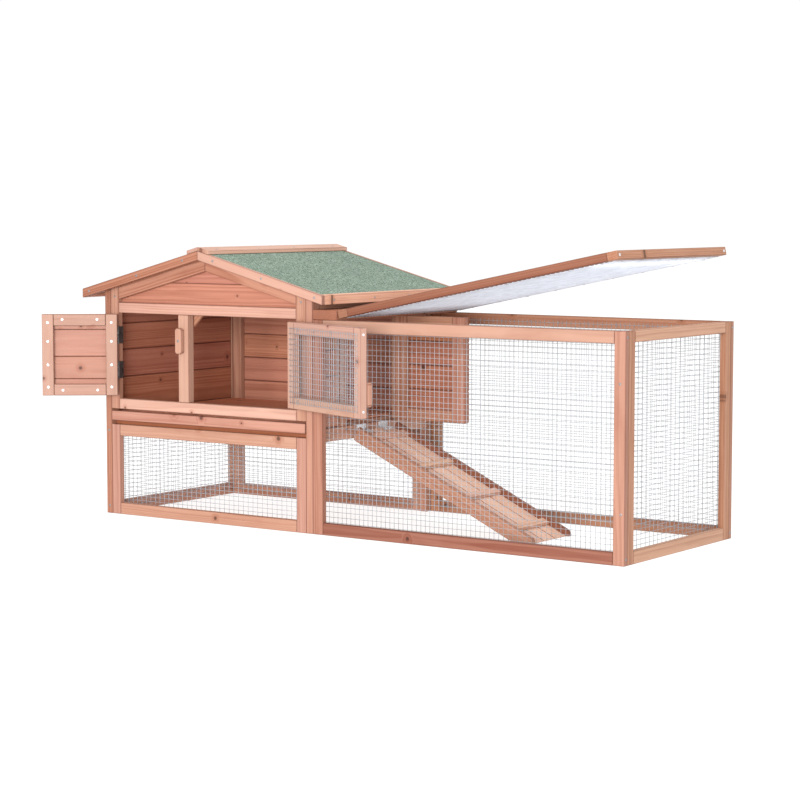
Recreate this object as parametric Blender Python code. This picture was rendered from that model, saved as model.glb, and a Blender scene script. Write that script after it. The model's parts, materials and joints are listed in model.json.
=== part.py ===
"""Rabbit hutch: a raised timber house with a felt roof, and a low wire run with a lifting lid.

The house stands on the left, the run on the right, and the doors open to the front (-Y).
Sizes are laid out from the house's left outer face (x = 0), its front face (y = 0) and the
ground (z = 0). One empty holds everything and moves the box's bottom centre to the world origin.
"""

import math

import bmesh
import bpy
from mathutils import Vector

# Driving dimensions, in metres.
LENGTH = 1.560              # house and run, along X
DEPTH = 0.530               # along Y
HOUSE_LENGTH = 0.683        # left face of the house to the run
RUN_HEIGHT = 0.530
STOCK_WIDE = 0.030          # planed softwood stock of the frames
STOCK_THICK = 0.015
SIDE_THICK = 0.020          # the two cross panels of the house
BOARD_THICK = 0.012
MESH_THICK = 0.0006         # welded wire, as a thin sheet
GAP = 0.0003                # between pieces that touch

# Heights of the house.
LOWER_TOP = 0.237           # lower front panel
UPPER_BOTTOM = 0.278        # upper front panel; the tray slides between the two
SILL_TOP = 0.305
HEADER_BOTTOM = 0.530
HEADER_TOP = 0.557
SIDE_TOP = 0.589

# Roof.
RIDGE_X = HOUSE_LENGTH / 2
ROOF_SLOPE = 0.2633         # rise over run
ROOF_TOP = 0.6946           # top of the felt at the ridge
EAVE_REACH = 0.393          # ridge to eave, along X
ROOF_OVERHANG = 0.030       # front and back
FELT_DROP = 0.0022          # felt, measured upright
ROOF_BOARD_DROP = 0.0124    # boards, measured upright
BARGE_DROP = 0.0234
BARGE_THICK = 0.0117
FASCIA_THICK = 0.010
RIDGE_CAP_REACH = 0.035
RIDGE_CAP_THICK = 0.0094
RAKE_BELOW_BARGE = 0.029    # width of the gable trim that shows under the barge board

# Openings and doors.
STILE_INNER_LEFT = 0.048
STILE_INNER_RIGHT = 0.632
POST_LEFT, POST_RIGHT = 0.251, 0.285
SOLID_DOOR_BOTTOM, SOLID_DOOR_TOP = 0.3155, 0.5275
MESH_DOOR_BOTTOM, MESH_DOOR_TOP = 0.3110, 0.5245
SIDE_DOOR_TOP = 0.5275
HINGE_GAP = 0.0025          # between a stile and its door
HINGE_OUT = 0.0035          # door hinge axis, in front of the frames
SOLID_DOOR_OPEN = 143.0     # degrees, as it stands at rest
MESH_DOOR_OPEN = 157.6
SIDE_DOOR_OPEN = 90.0
DOORWAY_NEAR, DOORWAY_FAR = 0.141, 0.364
DOORWAY_SILL_BOTTOM, DOORWAY_SILL_TOP = 0.2235, 0.2575
DIVIDER_REAR_STILE = 0.4975
SIDE_DOOR_STILE = 0.040

# Lid of the run.
HINGE_BOARD_END = 0.757
HINGE_BOARD_TOP = 0.5553
LID_END = 1.549
LID_RAIL = 0.028
LID_BOTTOM, LID_TOP = 0.5345, 0.5545
LID_AXIS = (0.7577, 0.5575)
LID_OPEN = 11.3

# Ramp: lengths run down the slope, heights square to it, both from the hinge axis.
RAMP_AXIS = (0.6859, 0.2385)
RAMP_SLOPE = 24.9
RAMP_FRONT, RAMP_BACK = 0.160, 0.339
RAMP_RAIL_THICK = 0.012
RAMP_RAIL_LOW, RAMP_RAIL_HIGH = -0.0149, 0.0211
RAMP_DECK_LOW, RAMP_DECK_HIGH = -0.0030, 0.0070
RAMP_START, RAMP_END = 0.010, 0.586
CLEAT_FIRST, CLEAT_PITCH = 0.038, 0.1545
CLEAT_WIDE, CLEAT_HIGH, CLEAT_COUNT = 0.022, 0.008, 4

# Tray and turn buttons.
TRAY_FRONT_BOTTOM, TRAY_FRONT_TOP = 0.2477, 0.2724
PAN_BOTTOM, PAN_TOP = 0.2665, 0.2710
BEARER_NEAR, BEARER_FAR = 0.0170, 0.0290
BEARER_BOTTOM = 0.2280
BUTTON_WIDE, BUTTON_LONG, BUTTON_THICK = 0.021, 0.066, 0.012
POST_BUTTON = (0.2605, 0.463)
DOOR_BUTTON = (0.2975, 0.3665)
DOOR_BUTTON_LONG = 0.059

# Butt hinges.
BARREL_RADIUS = 0.0028
LEAF_THICK = 0.0009
LEAF_LONG = 0.019
HINGE_HIGH = 0.045
RAMP_HINGE_WIDE = 0.040

FINISHES = {                # colour, roughness, metallic
    "timber": ((0.62, 0.30, 0.17), 0.60, 0.0),
    "boards": ((0.55, 0.25, 0.14), 0.65, 0.0),
    "felt": ((0.13, 0.22, 0.16), 0.95, 0.0),
    "wire": ((0.62, 0.63, 0.63), 0.40, 0.9),
    "zinc": ((0.75, 0.75, 0.74), 0.35, 0.9),
}


def finish_material(name, finish):
    colour, roughness, metallic = FINISHES[finish]
    material = bpy.data.materials.new(name)
    material.use_nodes = True
    shader = material.node_tree.nodes["Principled BSDF"]
    shader.inputs["Base Color"].default_value = (*colour, 1.0)
    shader.inputs["Roughness"].default_value = roughness
    shader.inputs["Metallic"].default_value = metallic
    return material


def empty(name, location, parent=None, turn=(0.0, 0.0, 0.0)):
    """An axis or anchor that pieces are parented to; turn is in degrees."""
    pivot = bpy.data.objects.new(name, None)
    pivot.empty_display_size = 0.05
    pivot.location = location
    pivot.rotation_euler = [math.radians(angle) for angle in turn]
    pivot.parent = parent
    bpy.context.scene.collection.objects.link(pivot)
    return pivot


def add_object(name, bm, finish, parent):
    bmesh.ops.recalc_face_normals(bm, faces=bm.faces[:])
    mesh = bpy.data.meshes.new(name)
    bm.to_mesh(mesh)
    bm.free()
    mesh.materials.append(finish_material(name, finish))
    piece = bpy.data.objects.new(name, mesh)
    piece.parent = parent
    bpy.context.scene.collection.objects.link(piece)
    return piece


def placed(plane, across, up, out):
    """A point of the plane "xz", "yz" or "xy", and its distance along the axis left over."""
    return {"xz": (across, out, up), "yz": (out, across, up), "xy": (across, up, out)}[plane]


def slab(name, plane, loops, low, high, finish, parent, shift=(0.0, 0.0, 0.0)):
    """A flat piece: the first loop is its outline, the others are holes; it runs from low to high.

    shift is taken off every point, so that a hinged piece is laid out where it closes.
    """
    bm = bmesh.new()
    edges = []
    for loop in loops:
        corners = [bm.verts.new(Vector(placed(plane, a, b, low)) - Vector(shift)) for a, b in loop]
        edges += [bm.edges.new((corners[i - 1], corners[i])) for i in range(len(corners))]
    bmesh.ops.triangle_fill(bm, edges=edges, use_beauty=True, use_dissolve=False)
    raised = bmesh.ops.extrude_face_region(bm, geom=bm.faces[:])["geom"]
    offset = Vector(placed(plane, 0.0, 0.0, high - low))
    bmesh.ops.translate(bm, verts=[v for v in raised if isinstance(v, bmesh.types.BMVert)], vec=offset)
    return add_object(name, bm, finish, parent)


def rectangle(left, right, bottom, top):
    return [(left, bottom), (right, bottom), (right, top), (left, top)]


def roof_line(x, drop=0.0):
    """Height of the felt's top at x, less drop."""
    return ROOF_TOP - ROOF_SLOPE * abs(x - RIDGE_X) - drop


def wall_top(x):
    return roof_line(x, FELT_DROP + ROOF_BOARD_DROP + 2 * GAP)


def gable_outline(left, right, bottom):
    return [
        (left, bottom),
        (right, bottom),
        (right, wall_top(right)),
        (RIDGE_X, wall_top(RIDGE_X)),
        (left, wall_top(left)),
    ]


def gable_hole(left, right):
    """The triangle with cut corners between the header and the two raked trims."""
    drop = BARGE_DROP + RAKE_BELOW_BARGE
    return [
        (left, HEADER_TOP),
        (right, HEADER_TOP),
        (right, roof_line(right, drop)),
        (RIDGE_X, roof_line(RIDGE_X, drop)),
        (left, roof_line(left, drop)),
    ]


def house_front(root):
    left, right = SIDE_THICK + GAP, HOUSE_LENGTH - SIDE_THICK - GAP - 0.0005
    lower_window = rectangle(STILE_INNER_LEFT, STILE_INNER_RIGHT, STOCK_WIDE, LOWER_TOP - STOCK_WIDE)
    slab(
        "lower_front_frame", "xz", [rectangle(left, right, 0.0, LOWER_TOP), lower_window],
        0.0, STOCK_THICK, "timber", root,
    )
    mesh_front = STOCK_THICK + GAP
    slab(
        "lower_front_mesh", "xz", [rectangle(0.030, 0.652, 0.012, 0.225)],
        mesh_front, mesh_front + MESH_THICK, "wire", root,
    )
    door_opening = rectangle(STILE_INNER_LEFT, STILE_INNER_RIGHT, SILL_TOP, HEADER_BOTTOM)
    slab(
        "upper_front_frame", "xz",
        [gable_outline(left, right, UPPER_BOTTOM), door_opening,
         gable_hole(STILE_INNER_LEFT, STILE_INNER_RIGHT)],
        0.0, STOCK_THICK, "timber", root,
    )
    slab(
        "front_gable_boards", "xz", [gable_outline(left + GAP, right - GAP, HEADER_BOTTOM + 0.012)],
        mesh_front, mesh_front + BOARD_THICK, "boards", root,
    )
    slab(
        "door_post", "xz",
        [rectangle(POST_LEFT, POST_RIGHT, SILL_TOP + GAP, HEADER_BOTTOM - GAP)],
        0.0, STOCK_THICK + 0.006, "timber", root,
    )


def house_left_side(root):
    rear = DEPTH - STOCK_WIDE
    slab(
        "left_side_frame", "yz",
        [rectangle(0.0, DEPTH, 0.0, SIDE_TOP),
         rectangle(STOCK_WIDE, rear, STOCK_WIDE, LOWER_TOP - STOCK_WIDE),
         rectangle(STOCK_WIDE, rear, 0.270, 0.545)],
        0.0, SIDE_THICK, "timber", root,
    )
    slab(
        "left_wall_boards", "yz",
        [rectangle(STOCK_WIDE + GAP, rear - GAP, 0.270 + GAP, 0.545 - GAP)],
        0.004, 0.004 + BOARD_THICK, "boards", root,
    )
    inner = SIDE_THICK + GAP
    slab(
        "left_lower_mesh", "yz", [rectangle(0.018, 0.499, 0.012, 0.225)],
        inner, inner + MESH_THICK, "wire", root,
    )


def house_back(root):
    left, right = SIDE_THICK + GAP, HOUSE_LENGTH - SIDE_THICK - GAP - 0.0005
    outer = DEPTH - BOARD_THICK
    inner = outer - GAP - STOCK_THICK
    slab(
        "house_back_frame", "xz",
        [gable_outline(left, right, 0.0),
         rectangle(0.050, STILE_INNER_RIGHT, STOCK_WIDE, LOWER_TOP - STOCK_WIDE),
         rectangle(0.050, STILE_INNER_RIGHT, 0.262, HEADER_BOTTOM),
         gable_hole(0.050, STILE_INNER_RIGHT)],
        inner, outer - GAP, "timber", root,
    )
    slab(
        "back_wall_boards", "xz", [gable_outline(left + GAP, right - GAP, 0.225)],
        outer, DEPTH, "boards", root,
    )
    slab(
        "lower_back_mesh", "xz", [rectangle(0.030, 0.652, 0.012, 0.225)],
        inner - GAP - MESH_THICK, inner - GAP, "wire", root,
    )


def house_divider(root):
    """The cross panel between house and run: two posts down to the ground, and a doorway."""
    left, right = HOUSE_LENGTH - SIDE_THICK - 0.0005, HOUSE_LENGTH - 0.0002
    outline = [
        (0.0, 0.0), (STOCK_WIDE, 0.0), (STOCK_WIDE, DOORWAY_SILL_BOTTOM),
        (DIVIDER_REAR_STILE, DOORWAY_SILL_BOTTOM), (DIVIDER_REAR_STILE, 0.0), (DEPTH, 0.0),
        (DEPTH, SIDE_TOP), (0.0, SIDE_TOP),
    ]
    near_jamb, far_jamb = DOORWAY_NEAR - STOCK_WIDE, DOORWAY_FAR + STOCK_WIDE
    bottom, top = DOORWAY_SILL_TOP, HEADER_BOTTOM
    slab(
        "divider_frame", "yz",
        [outline,
         rectangle(STOCK_WIDE, near_jamb, bottom, top),
         rectangle(DOORWAY_NEAR, DOORWAY_FAR, bottom, top),
         rectangle(far_jamb, DIVIDER_REAR_STILE, bottom, top)],
        left, right, "timber", root,
    )
    for name, near, far in (
        ("divider_front_boards", STOCK_WIDE, near_jamb),
        ("divider_rear_boards", far_jamb, DIVIDER_REAR_STILE),
    ):
        slab(
            name, "yz", [rectangle(near + GAP, far - GAP, bottom + GAP, top - GAP)],
            left + 0.004, left + 0.004 + BOARD_THICK, "boards", root,
        )


def tray_runners(root):
    right = HOUSE_LENGTH - SIDE_THICK - GAP - 0.0005
    for name, low, high in (
        ("left_tray_runner", SIDE_THICK + GAP, SIDE_THICK + 0.022),
        ("right_tray_runner", right - 0.022, right),
    ):
        slab(
            name, "xy", [rectangle(low, high, BEARER_FAR + GAP, 0.5020)],
            0.2400, PAN_BOTTOM - GAP, "timber", root,
        )
    slab(
        "tray_bearer", "xy", [rectangle(SIDE_THICK + GAP, right, BEARER_NEAR, BEARER_FAR)],
        BEARER_BOTTOM, PAN_BOTTOM - GAP, "timber", root,
    )


def run_panels(root):
    left = HOUSE_LENGTH + 0.0001
    window = rectangle(left + STOCK_WIDE, LENGTH - STOCK_WIDE, STOCK_WIDE, RUN_HEIGHT - 0.029)
    outline = rectangle(left, LENGTH, 0.0, RUN_HEIGHT)
    sheet = [rectangle(left + 0.012, LENGTH - STOCK_THICK - 0.003, 0.012, RUN_HEIGHT - 0.012)]
    back = DEPTH - STOCK_THICK
    slab("run_front_frame", "xz", [outline, window], 0.0, STOCK_THICK, "timber", root)
    slab("run_back_frame", "xz", [outline, window], back, DEPTH, "timber", root)
    slab(
        "run_front_mesh", "xz", sheet,
        STOCK_THICK + GAP, STOCK_THICK + GAP + MESH_THICK, "wire", root,
    )
    slab("run_back_mesh", "xz", sheet, back - GAP - MESH_THICK, back - GAP, "wire", root)
    near, far = STOCK_THICK + GAP, back - GAP
    end = LENGTH - STOCK_THICK
    slab(
        "run_end_frame", "yz",
        [rectangle(near, far, 0.0, RUN_HEIGHT),
         rectangle(near + 0.028, far - 0.028, STOCK_WIDE, RUN_HEIGHT - 0.027)],
        end, LENGTH, "timber", root,
    )
    slab(
        "run_end_mesh", "yz",
        [rectangle(near + 0.003, far - 0.003, 0.012, RUN_HEIGHT - 0.012)],
        end - GAP - MESH_THICK, end - GAP, "wire", root,
    )
    slab(
        "lid_hinge_board", "xy", [rectangle(left, HINGE_BOARD_END, 0.0, DEPTH)],
        RUN_HEIGHT + GAP, HINGE_BOARD_TOP, "timber", root,
    )


def roof(root):
    front, back = -ROOF_OVERHANG, DEPTH + ROOF_OVERHANG
    inner_front, inner_back = front + BARGE_THICK + GAP, back - BARGE_THICK - GAP
    board_drop = FELT_DROP + GAP
    for side, name in ((-1, "left"), (1, "right")):
        ridge = RIDGE_X + side * GAP / 2
        eave = RIDGE_X + side * EAVE_REACH
        board_end = eave - side * (FASCIA_THICK + GAP)
        slopes = {
            f"{name}_roof_felt": (ridge, board_end, 0.0, FELT_DROP, inner_front, inner_back, "felt"),
            f"{name}_roof_boards": (
                ridge, board_end, board_drop, board_drop + ROOF_BOARD_DROP,
                inner_front, inner_back, "boards",
            ),
            f"{name}_fascia": (
                eave - side * FASCIA_THICK, eave, 0.0, BARGE_DROP,
                inner_front, inner_back, "timber",
            ),
            f"front_{name}_barge_board": (
                ridge, eave, 0.0, BARGE_DROP, front, front + BARGE_THICK, "timber",
            ),
            f"back_{name}_barge_board": (
                ridge, eave, 0.0, BARGE_DROP, back - BARGE_THICK, back, "timber",
            ),
        }
        for piece, (start, end, high, low, near, far, finish) in slopes.items():
            outline = [
                (start, roof_line(start, high)), (end, roof_line(end, high)),
                (end, roof_line(end, low)), (start, roof_line(start, low)),
            ]
            slab(piece, "xz", [outline], near, far, finish, root)
    low_left, low_right = RIDGE_X - RIDGE_CAP_REACH, RIDGE_X + RIDGE_CAP_REACH
    cap = [
        (low_left, roof_line(low_left, -GAP)), (RIDGE_X, roof_line(RIDGE_X, -GAP)),
        (low_right, roof_line(low_right, -GAP)),
        (low_right, roof_line(low_right, -GAP - RIDGE_CAP_THICK)),
        (RIDGE_X, roof_line(RIDGE_X, -GAP - RIDGE_CAP_THICK)),
        (low_left, roof_line(low_left, -GAP - RIDGE_CAP_THICK)),
    ]
    slab("ridge_cap", "xz", [cap], front, back, "timber", root)


def framed(left, right, bottom, top, stile, rail):
    return [
        rectangle(left, right, bottom, top),
        rectangle(left + stile, right - stile, bottom + rail, top - rail),
    ]


def solid_door(root):
    """Boards outside, frame inside; laid out closed, then turned open about its hinge."""
    axis = (STILE_INNER_LEFT + 0.0015, -HINGE_OUT, 0.0)
    pivot = empty("solid_door_axis", axis, root, (0.0, 0.0, -SOLID_DOOR_OPEN))
    left, right = STILE_INNER_LEFT + HINGE_GAP, POST_LEFT - 0.0055
    bottom, top = SOLID_DOOR_BOTTOM, SOLID_DOOR_TOP
    outline = [rectangle(left + 0.0005, right - 0.0005, bottom + 0.0005, top - 0.0005)]
    slab("solid_door_boards", "xz", outline, 0.0, 0.0080, "boards", pivot, axis)
    frame = framed(left, right, bottom, top, STOCK_WIDE, STOCK_WIDE)
    slab("solid_door_frame", "xz", frame, 0.0083, 0.0083 + STOCK_THICK, "timber", pivot, axis)


def mesh_door(root):
    axis = (STILE_INNER_RIGHT - 0.0015, -HINGE_OUT, 0.0)
    pivot = empty("mesh_door_axis", axis, root, (0.0, 0.0, MESH_DOOR_OPEN))
    left, right = POST_RIGHT + 0.0015, STILE_INNER_RIGHT - HINGE_GAP
    bottom, top = MESH_DOOR_BOTTOM, MESH_DOOR_TOP
    frame = framed(left, right, bottom, top, STOCK_WIDE, STOCK_WIDE)
    slab("mesh_door_frame", "xz", frame, 0.0, 0.0180, "timber", pivot, axis)
    sheet = rectangle(left + 0.012, right - 0.012, bottom + 0.012, top - 0.012)
    slab("mesh_door_wire", "xz", [sheet], 0.0183, 0.0183 + MESH_THICK, "wire", pivot, axis)
    place = (DOOR_BUTTON[0] - axis[0], -GAP - axis[1], DOOR_BUTTON[1])
    turn_button("mesh_door_button", place, DOOR_BUTTON_LONG, 0.015, pivot)


def turn_button(name, place, length, thick, parent):
    """A block with clipped ends that turns on one screw; its origin is on the screw, at its back."""
    half_wide, half_long, clip = BUTTON_WIDE / 2, length / 2, 0.005
    outline = [
        (-half_wide, clip - half_long), (clip - half_wide, -half_long),
        (half_wide - clip, -half_long), (half_wide, clip - half_long),
        (half_wide, half_long - clip), (half_wide - clip, half_long),
        (clip - half_wide, half_long), (-half_wide, half_long - clip),
    ]
    button = slab(name, "xz", [outline], -thick, 0.0, "timber", parent)
    button.location = place


def side_door(root):
    """The pop door of the divider, standing open into the run."""
    axis = (0.6868, DOORWAY_FAR - 0.001, 0.0)
    pivot = empty("side_door_axis", axis, root, (0.0, 0.0, SIDE_DOOR_OPEN))
    near, far = DOORWAY_NEAR + 0.0015, DOORWAY_FAR - 0.002
    bottom = DOORWAY_SILL_TOP + 0.002
    frame = framed(near, far, bottom, SIDE_DOOR_TOP, SIDE_DOOR_STILE, STOCK_WIDE)
    slab("side_door_frame", "yz", frame, 0.6645, 0.6765, "timber", pivot, axis)
    boards = [rectangle(near + 0.0005, far - 0.0005, bottom + 0.0005, SIDE_DOOR_TOP - 0.0005)]
    slab("side_door_boards", "yz", boards, 0.6768, 0.6838, "boards", pivot, axis)


def lid(root):
    axis = (LID_AXIS[0], 0.0, LID_AXIS[1])
    pivot = empty("lid_axis", axis, root, (0.0, -LID_OPEN, 0.0))
    left = HINGE_BOARD_END + 0.0015
    frame = framed(left, LID_END, 0.0, DEPTH, LID_RAIL, LID_RAIL)
    slab("lid_frame", "xy", frame, LID_BOTTOM, LID_TOP, "timber", pivot, axis)
    sheet = [rectangle(left + 0.012, LID_END - 0.012, 0.012, DEPTH - 0.012)]
    slab("lid_mesh", "xy", sheet, LID_BOTTOM - GAP - MESH_THICK, LID_BOTTOM - GAP, "wire", pivot, axis)


def ramp_foot(height):
    """Length down the slope at which a line of this height off the hinge meets the ground."""
    slope = math.radians(RAMP_SLOPE)
    return (RAMP_AXIS[1] + height * math.cos(slope)) / math.sin(slope)


def ramp(root):
    slope = math.radians(RAMP_SLOPE)
    pivot = empty("ramp_axis", (RAMP_AXIS[0], 0.0, RAMP_AXIS[1]), root, (0.0, RAMP_SLOPE, 0.0))
    toe = (RAMP_END * math.sin(slope) - RAMP_AXIS[1]) / math.cos(slope)
    rail = [
        (RAMP_START, RAMP_RAIL_LOW), (ramp_foot(RAMP_RAIL_LOW), RAMP_RAIL_LOW),
        (RAMP_END, toe), (RAMP_END, toe + 0.003),
        (RAMP_END - 0.010, RAMP_RAIL_HIGH), (RAMP_START, RAMP_RAIL_HIGH),
    ]
    inner_front, inner_back = RAMP_FRONT + RAMP_RAIL_THICK, RAMP_BACK - RAMP_RAIL_THICK
    slab("ramp_front_rail", "xz", [rail], RAMP_FRONT, inner_front, "timber", pivot)
    slab("ramp_rear_rail", "xz", [rail], inner_back, RAMP_BACK, "timber", pivot)
    near, far = inner_front + GAP, inner_back - GAP
    deck = [
        (0.003, RAMP_DECK_LOW), (ramp_foot(RAMP_DECK_LOW), RAMP_DECK_LOW),
        (ramp_foot(RAMP_DECK_HIGH) - 0.001, RAMP_DECK_HIGH), (0.003, RAMP_DECK_HIGH),
    ]
    slab("ramp_deck", "xz", [deck], near, far, "boards", pivot)
    base = RAMP_DECK_HIGH + GAP
    for index in range(CLEAT_COUNT):
        start = CLEAT_FIRST + index * CLEAT_PITCH
        outline = rectangle(start, start + CLEAT_WIDE, base, base + CLEAT_HIGH)
        slab(f"ramp_cleat_{index + 1}", "xz", [outline], near, far, "timber", pivot)


def tray(root):
    """A boarded floor behind a front board that pulls it out."""
    right = HOUSE_LENGTH - SIDE_THICK - 0.0030
    anchor = empty("tray_slide", (0.0, 0.0, 0.0), root)
    left, near, far = SIDE_THICK + 0.0020, 0.0126, 0.5000
    slab(
        "tray_front", "xz", [rectangle(left, right, TRAY_FRONT_BOTTOM, TRAY_FRONT_TOP)],
        -0.0020, 0.0123, "timber", anchor,
    )
    floor = [rectangle(left, right, near, far)]
    slab("tray_pan", "xy", floor, PAN_BOTTOM, PAN_TOP, "boards", anchor)


def hinge(name, plane, centre, start, length, leaf_side, parent):
    """A barrel along the plane's normal and the fixed leaf, which runs up or back from it.

    leaf_side gives the leaf's two faces as distances beside the barrel's centre, low side first.
    """
    across, up = centre
    first, last = (math.asin(side / BARREL_RADIUS) for side in reversed(leaf_side))
    steps = 12
    profile = [(LEAF_LONG, leaf_side[0]), (LEAF_LONG, leaf_side[1])]
    for index in range(steps + 1):
        angle = first + (2 * math.pi + last - first) * index / steps
        profile.append((BARREL_RADIUS * math.cos(angle), BARREL_RADIUS * math.sin(angle)))
    loop = [(across - beside, up + along) for along, beside in profile]
    slab(name, plane, [loop], start, start + length, "zinc", parent)


def hinges(root):
    left_leaf = (0.0003, 0.0003 + LEAF_THICK)
    right_leaf = (-0.0003 - LEAF_THICK, -0.0003)
    doors = (
        ("solid_door", STILE_INNER_LEFT + 0.0015, left_leaf),
        ("mesh_door", STILE_INNER_RIGHT - 0.0015, right_leaf),
    )
    for door, x, leaf_side in doors:
        for place, height in (("upper", 0.4490), ("lower", 0.3580)):
            hinge(f"{door}_{place}_hinge", "xy", (x, -HINGE_OUT), height, HINGE_HIGH, leaf_side, root)
    back_leaf = (BARREL_RADIUS - LEAF_THICK, BARREL_RADIUS)
    for place, start in (("front", 0.1825), ("rear", 0.2765)):
        hinge(f"ramp_{place}_hinge", "xz", RAMP_AXIS, start, RAMP_HINGE_WIDE, back_leaf, root)


def bottom_centre():
    """Middle of the whole object's box, at the ground."""
    bpy.context.view_layer.update()
    corners = [
        piece.matrix_world @ vertex.co
        for piece in bpy.data.objects if piece.type == "MESH"
        for vertex in piece.data.vertices
    ]
    middle = [(min(c[i] for c in corners) + max(c[i] for c in corners)) / 2 for i in range(2)]
    return Vector((middle[0], middle[1], 0.0))


def main():
    for leftover in list(bpy.data.objects):
        bpy.data.objects.remove(leftover, do_unlink=True)
    root = empty("hutch", (0.0, 0.0, 0.0))
    house_front(root)
    house_left_side(root)
    house_back(root)
    house_divider(root)
    tray_runners(root)
    run_panels(root)
    roof(root)
    solid_door(root)
    mesh_door(root)
    turn_button("post_button", (POST_BUTTON[0], -GAP, POST_BUTTON[1]), BUTTON_LONG, BUTTON_THICK, root)
    side_door(root)
    lid(root)
    ramp(root)
    tray(root)
    hinges(root)
    root.location = -bottom_centre()


main()
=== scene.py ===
"""Looks of the rabbit hutch: every timber, board, wire, staple, screw and hinge leaf as its own
mesh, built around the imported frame.

Pieces are laid out from the house's left outer face (x = 0), its front face (y = 0) and the
ground (z = 0). Hinged pieces are laid out closed, then turned to where they stand at rest.
"""

import json
import math
import random

import bmesh
import bpy
from mathutils import Matrix, Vector

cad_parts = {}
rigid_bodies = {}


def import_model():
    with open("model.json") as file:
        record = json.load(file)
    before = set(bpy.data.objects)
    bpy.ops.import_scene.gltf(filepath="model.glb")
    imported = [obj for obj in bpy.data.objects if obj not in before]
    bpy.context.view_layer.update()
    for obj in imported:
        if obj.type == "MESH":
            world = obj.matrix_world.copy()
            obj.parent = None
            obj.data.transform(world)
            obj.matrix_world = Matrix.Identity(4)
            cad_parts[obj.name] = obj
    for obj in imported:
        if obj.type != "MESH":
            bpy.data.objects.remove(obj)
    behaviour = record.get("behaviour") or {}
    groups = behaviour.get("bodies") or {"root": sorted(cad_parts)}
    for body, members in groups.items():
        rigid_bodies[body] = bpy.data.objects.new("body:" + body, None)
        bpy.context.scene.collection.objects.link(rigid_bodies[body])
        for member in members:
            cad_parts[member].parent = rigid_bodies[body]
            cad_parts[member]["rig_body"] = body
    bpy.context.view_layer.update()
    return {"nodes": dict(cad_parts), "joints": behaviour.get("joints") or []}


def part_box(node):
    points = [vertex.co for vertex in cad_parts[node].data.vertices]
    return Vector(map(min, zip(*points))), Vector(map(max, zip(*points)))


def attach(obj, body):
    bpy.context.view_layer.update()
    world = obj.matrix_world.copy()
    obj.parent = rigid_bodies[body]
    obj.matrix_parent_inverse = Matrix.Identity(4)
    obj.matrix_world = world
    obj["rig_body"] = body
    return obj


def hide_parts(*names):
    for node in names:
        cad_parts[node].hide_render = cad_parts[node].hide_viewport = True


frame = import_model()

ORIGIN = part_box("left_side_frame")[0]
JOINTS = {joint["name"]: joint for joint in frame["joints"]}
X, Y, Z = Vector((1, 0, 0)), Vector((0, 1, 0)), Vector((0, 0, 1))

# Timber sizes, in metres.
DEPTH = 0.530               # house and run, front to back
STOCK = 0.030
GAP = 0.0003
SEAM = GAP / 2
ROUND = 0.0014              # rounding of planed edges
BOARD_ROUND = 0.0022
FRONT_OPENING = (0.048, 0.632)
BACK_OPENING = (0.050, 0.632)
BOARD_LINE, BOARD_PITCH = 0.321, 0.065
SIDES = (("left", -1), ("right", 1))
RIDGE_X = 0.3415
ROOF_SLOPE = 0.2633
ROOF_TOP = 0.6946
FELT_DROP = 0.0022
ROOF_BOARD_DROP = 0.0124
BARGE_DROP = 0.0234
RAKE_WIDE = 0.029
EAVE_REACH = 0.393
ROOF_OVERHANG = 0.030
RIDGE_CAP_REACH = 0.035
RIDGE_CAP_THICK = 0.0094
FASCIA_THICK = 0.010
HEADER = (0.530, 0.557)
FRAME_INSET = 0.012         # a wire sheet's edge, in from its frame's
NO_KNOT = (99.0, 99.0)
LID_OUTER = (0.7585, 1.549, 0.0, DEPTH)    # shut: left, right, front and back
LID_LEVELS = (0.5345, 0.5545)
RAMP_SLOPE = math.radians(24.9)

# Welded wire.
PITCH = (0.0130, 0.0130)        # across, then up
LOW_PITCH = (0.0155, 0.0115)    # under the house
END_PITCH = (0.0200, 0.0120)    # far end of the run
DOOR_PITCH = (0.0105, 0.0130)   # mesh door
WIRE_RADIUS = 0.00058
LOW_SHEET = (0.030, 0.652, 0.012, 0.225)
LEFT_LOW_SHEET = (0.018, 0.499, 0.012, 0.225)

# Hinge pins.
PIN_OUT = 0.0035                # of the front doors, before the frames
RAMP_PIN = Vector((0.6859, 0.0, 0.2385))
LID_PIN = Vector((0.7577, 0.0, 0.5575))
SIDE_DOOR_PIN = Vector((0.6868, 0.363, 0.0))

# Joint value, in degrees, at which each hinged piece is shut.
SHUT = {
    "solid_door_swing": 143.0, "mesh_door_swing": -157.6, "side_door_swing": -90.0, "lid_lift": -11.3,
}


def house_box(node):
    """Lowest and highest corner of a CAD node, from the house's own corner."""
    low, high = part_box(node)
    return low - ORIGIN, high - ORIGIN


PLANE_AXES = {"xz": (X, Z, Y), "yz": (Y, Z, X), "xy": (X, Y, Z)}


def extents(node, plane):
    """Limits of a CAD node: two across the plane, two up it, and two through it."""
    corners = house_box(node)
    return [corner.dot(axis) for axis in PLANE_AXES[plane] for corner in corners]


def body_of(node):
    return frame["nodes"][node]["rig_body"]


def from_shut(joint_name):
    """Matrix that takes a piece laid out shut to where it stands at rest."""
    joint = JOINTS[joint_name]
    pivot = Vector(joint["pos_m"])
    turn = Matrix.Rotation(-math.radians(SHUT[joint_name]), 4, Vector(joint["axis"]))
    return Matrix.Translation(pivot) @ turn @ Matrix.Translation(-pivot)


AT_REST = Matrix.Identity(4)
PLACE = {JOINTS[name]["child"]: from_shut(name) for name in SHUT}


# ---------------------------------------------------------------- materials

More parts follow.
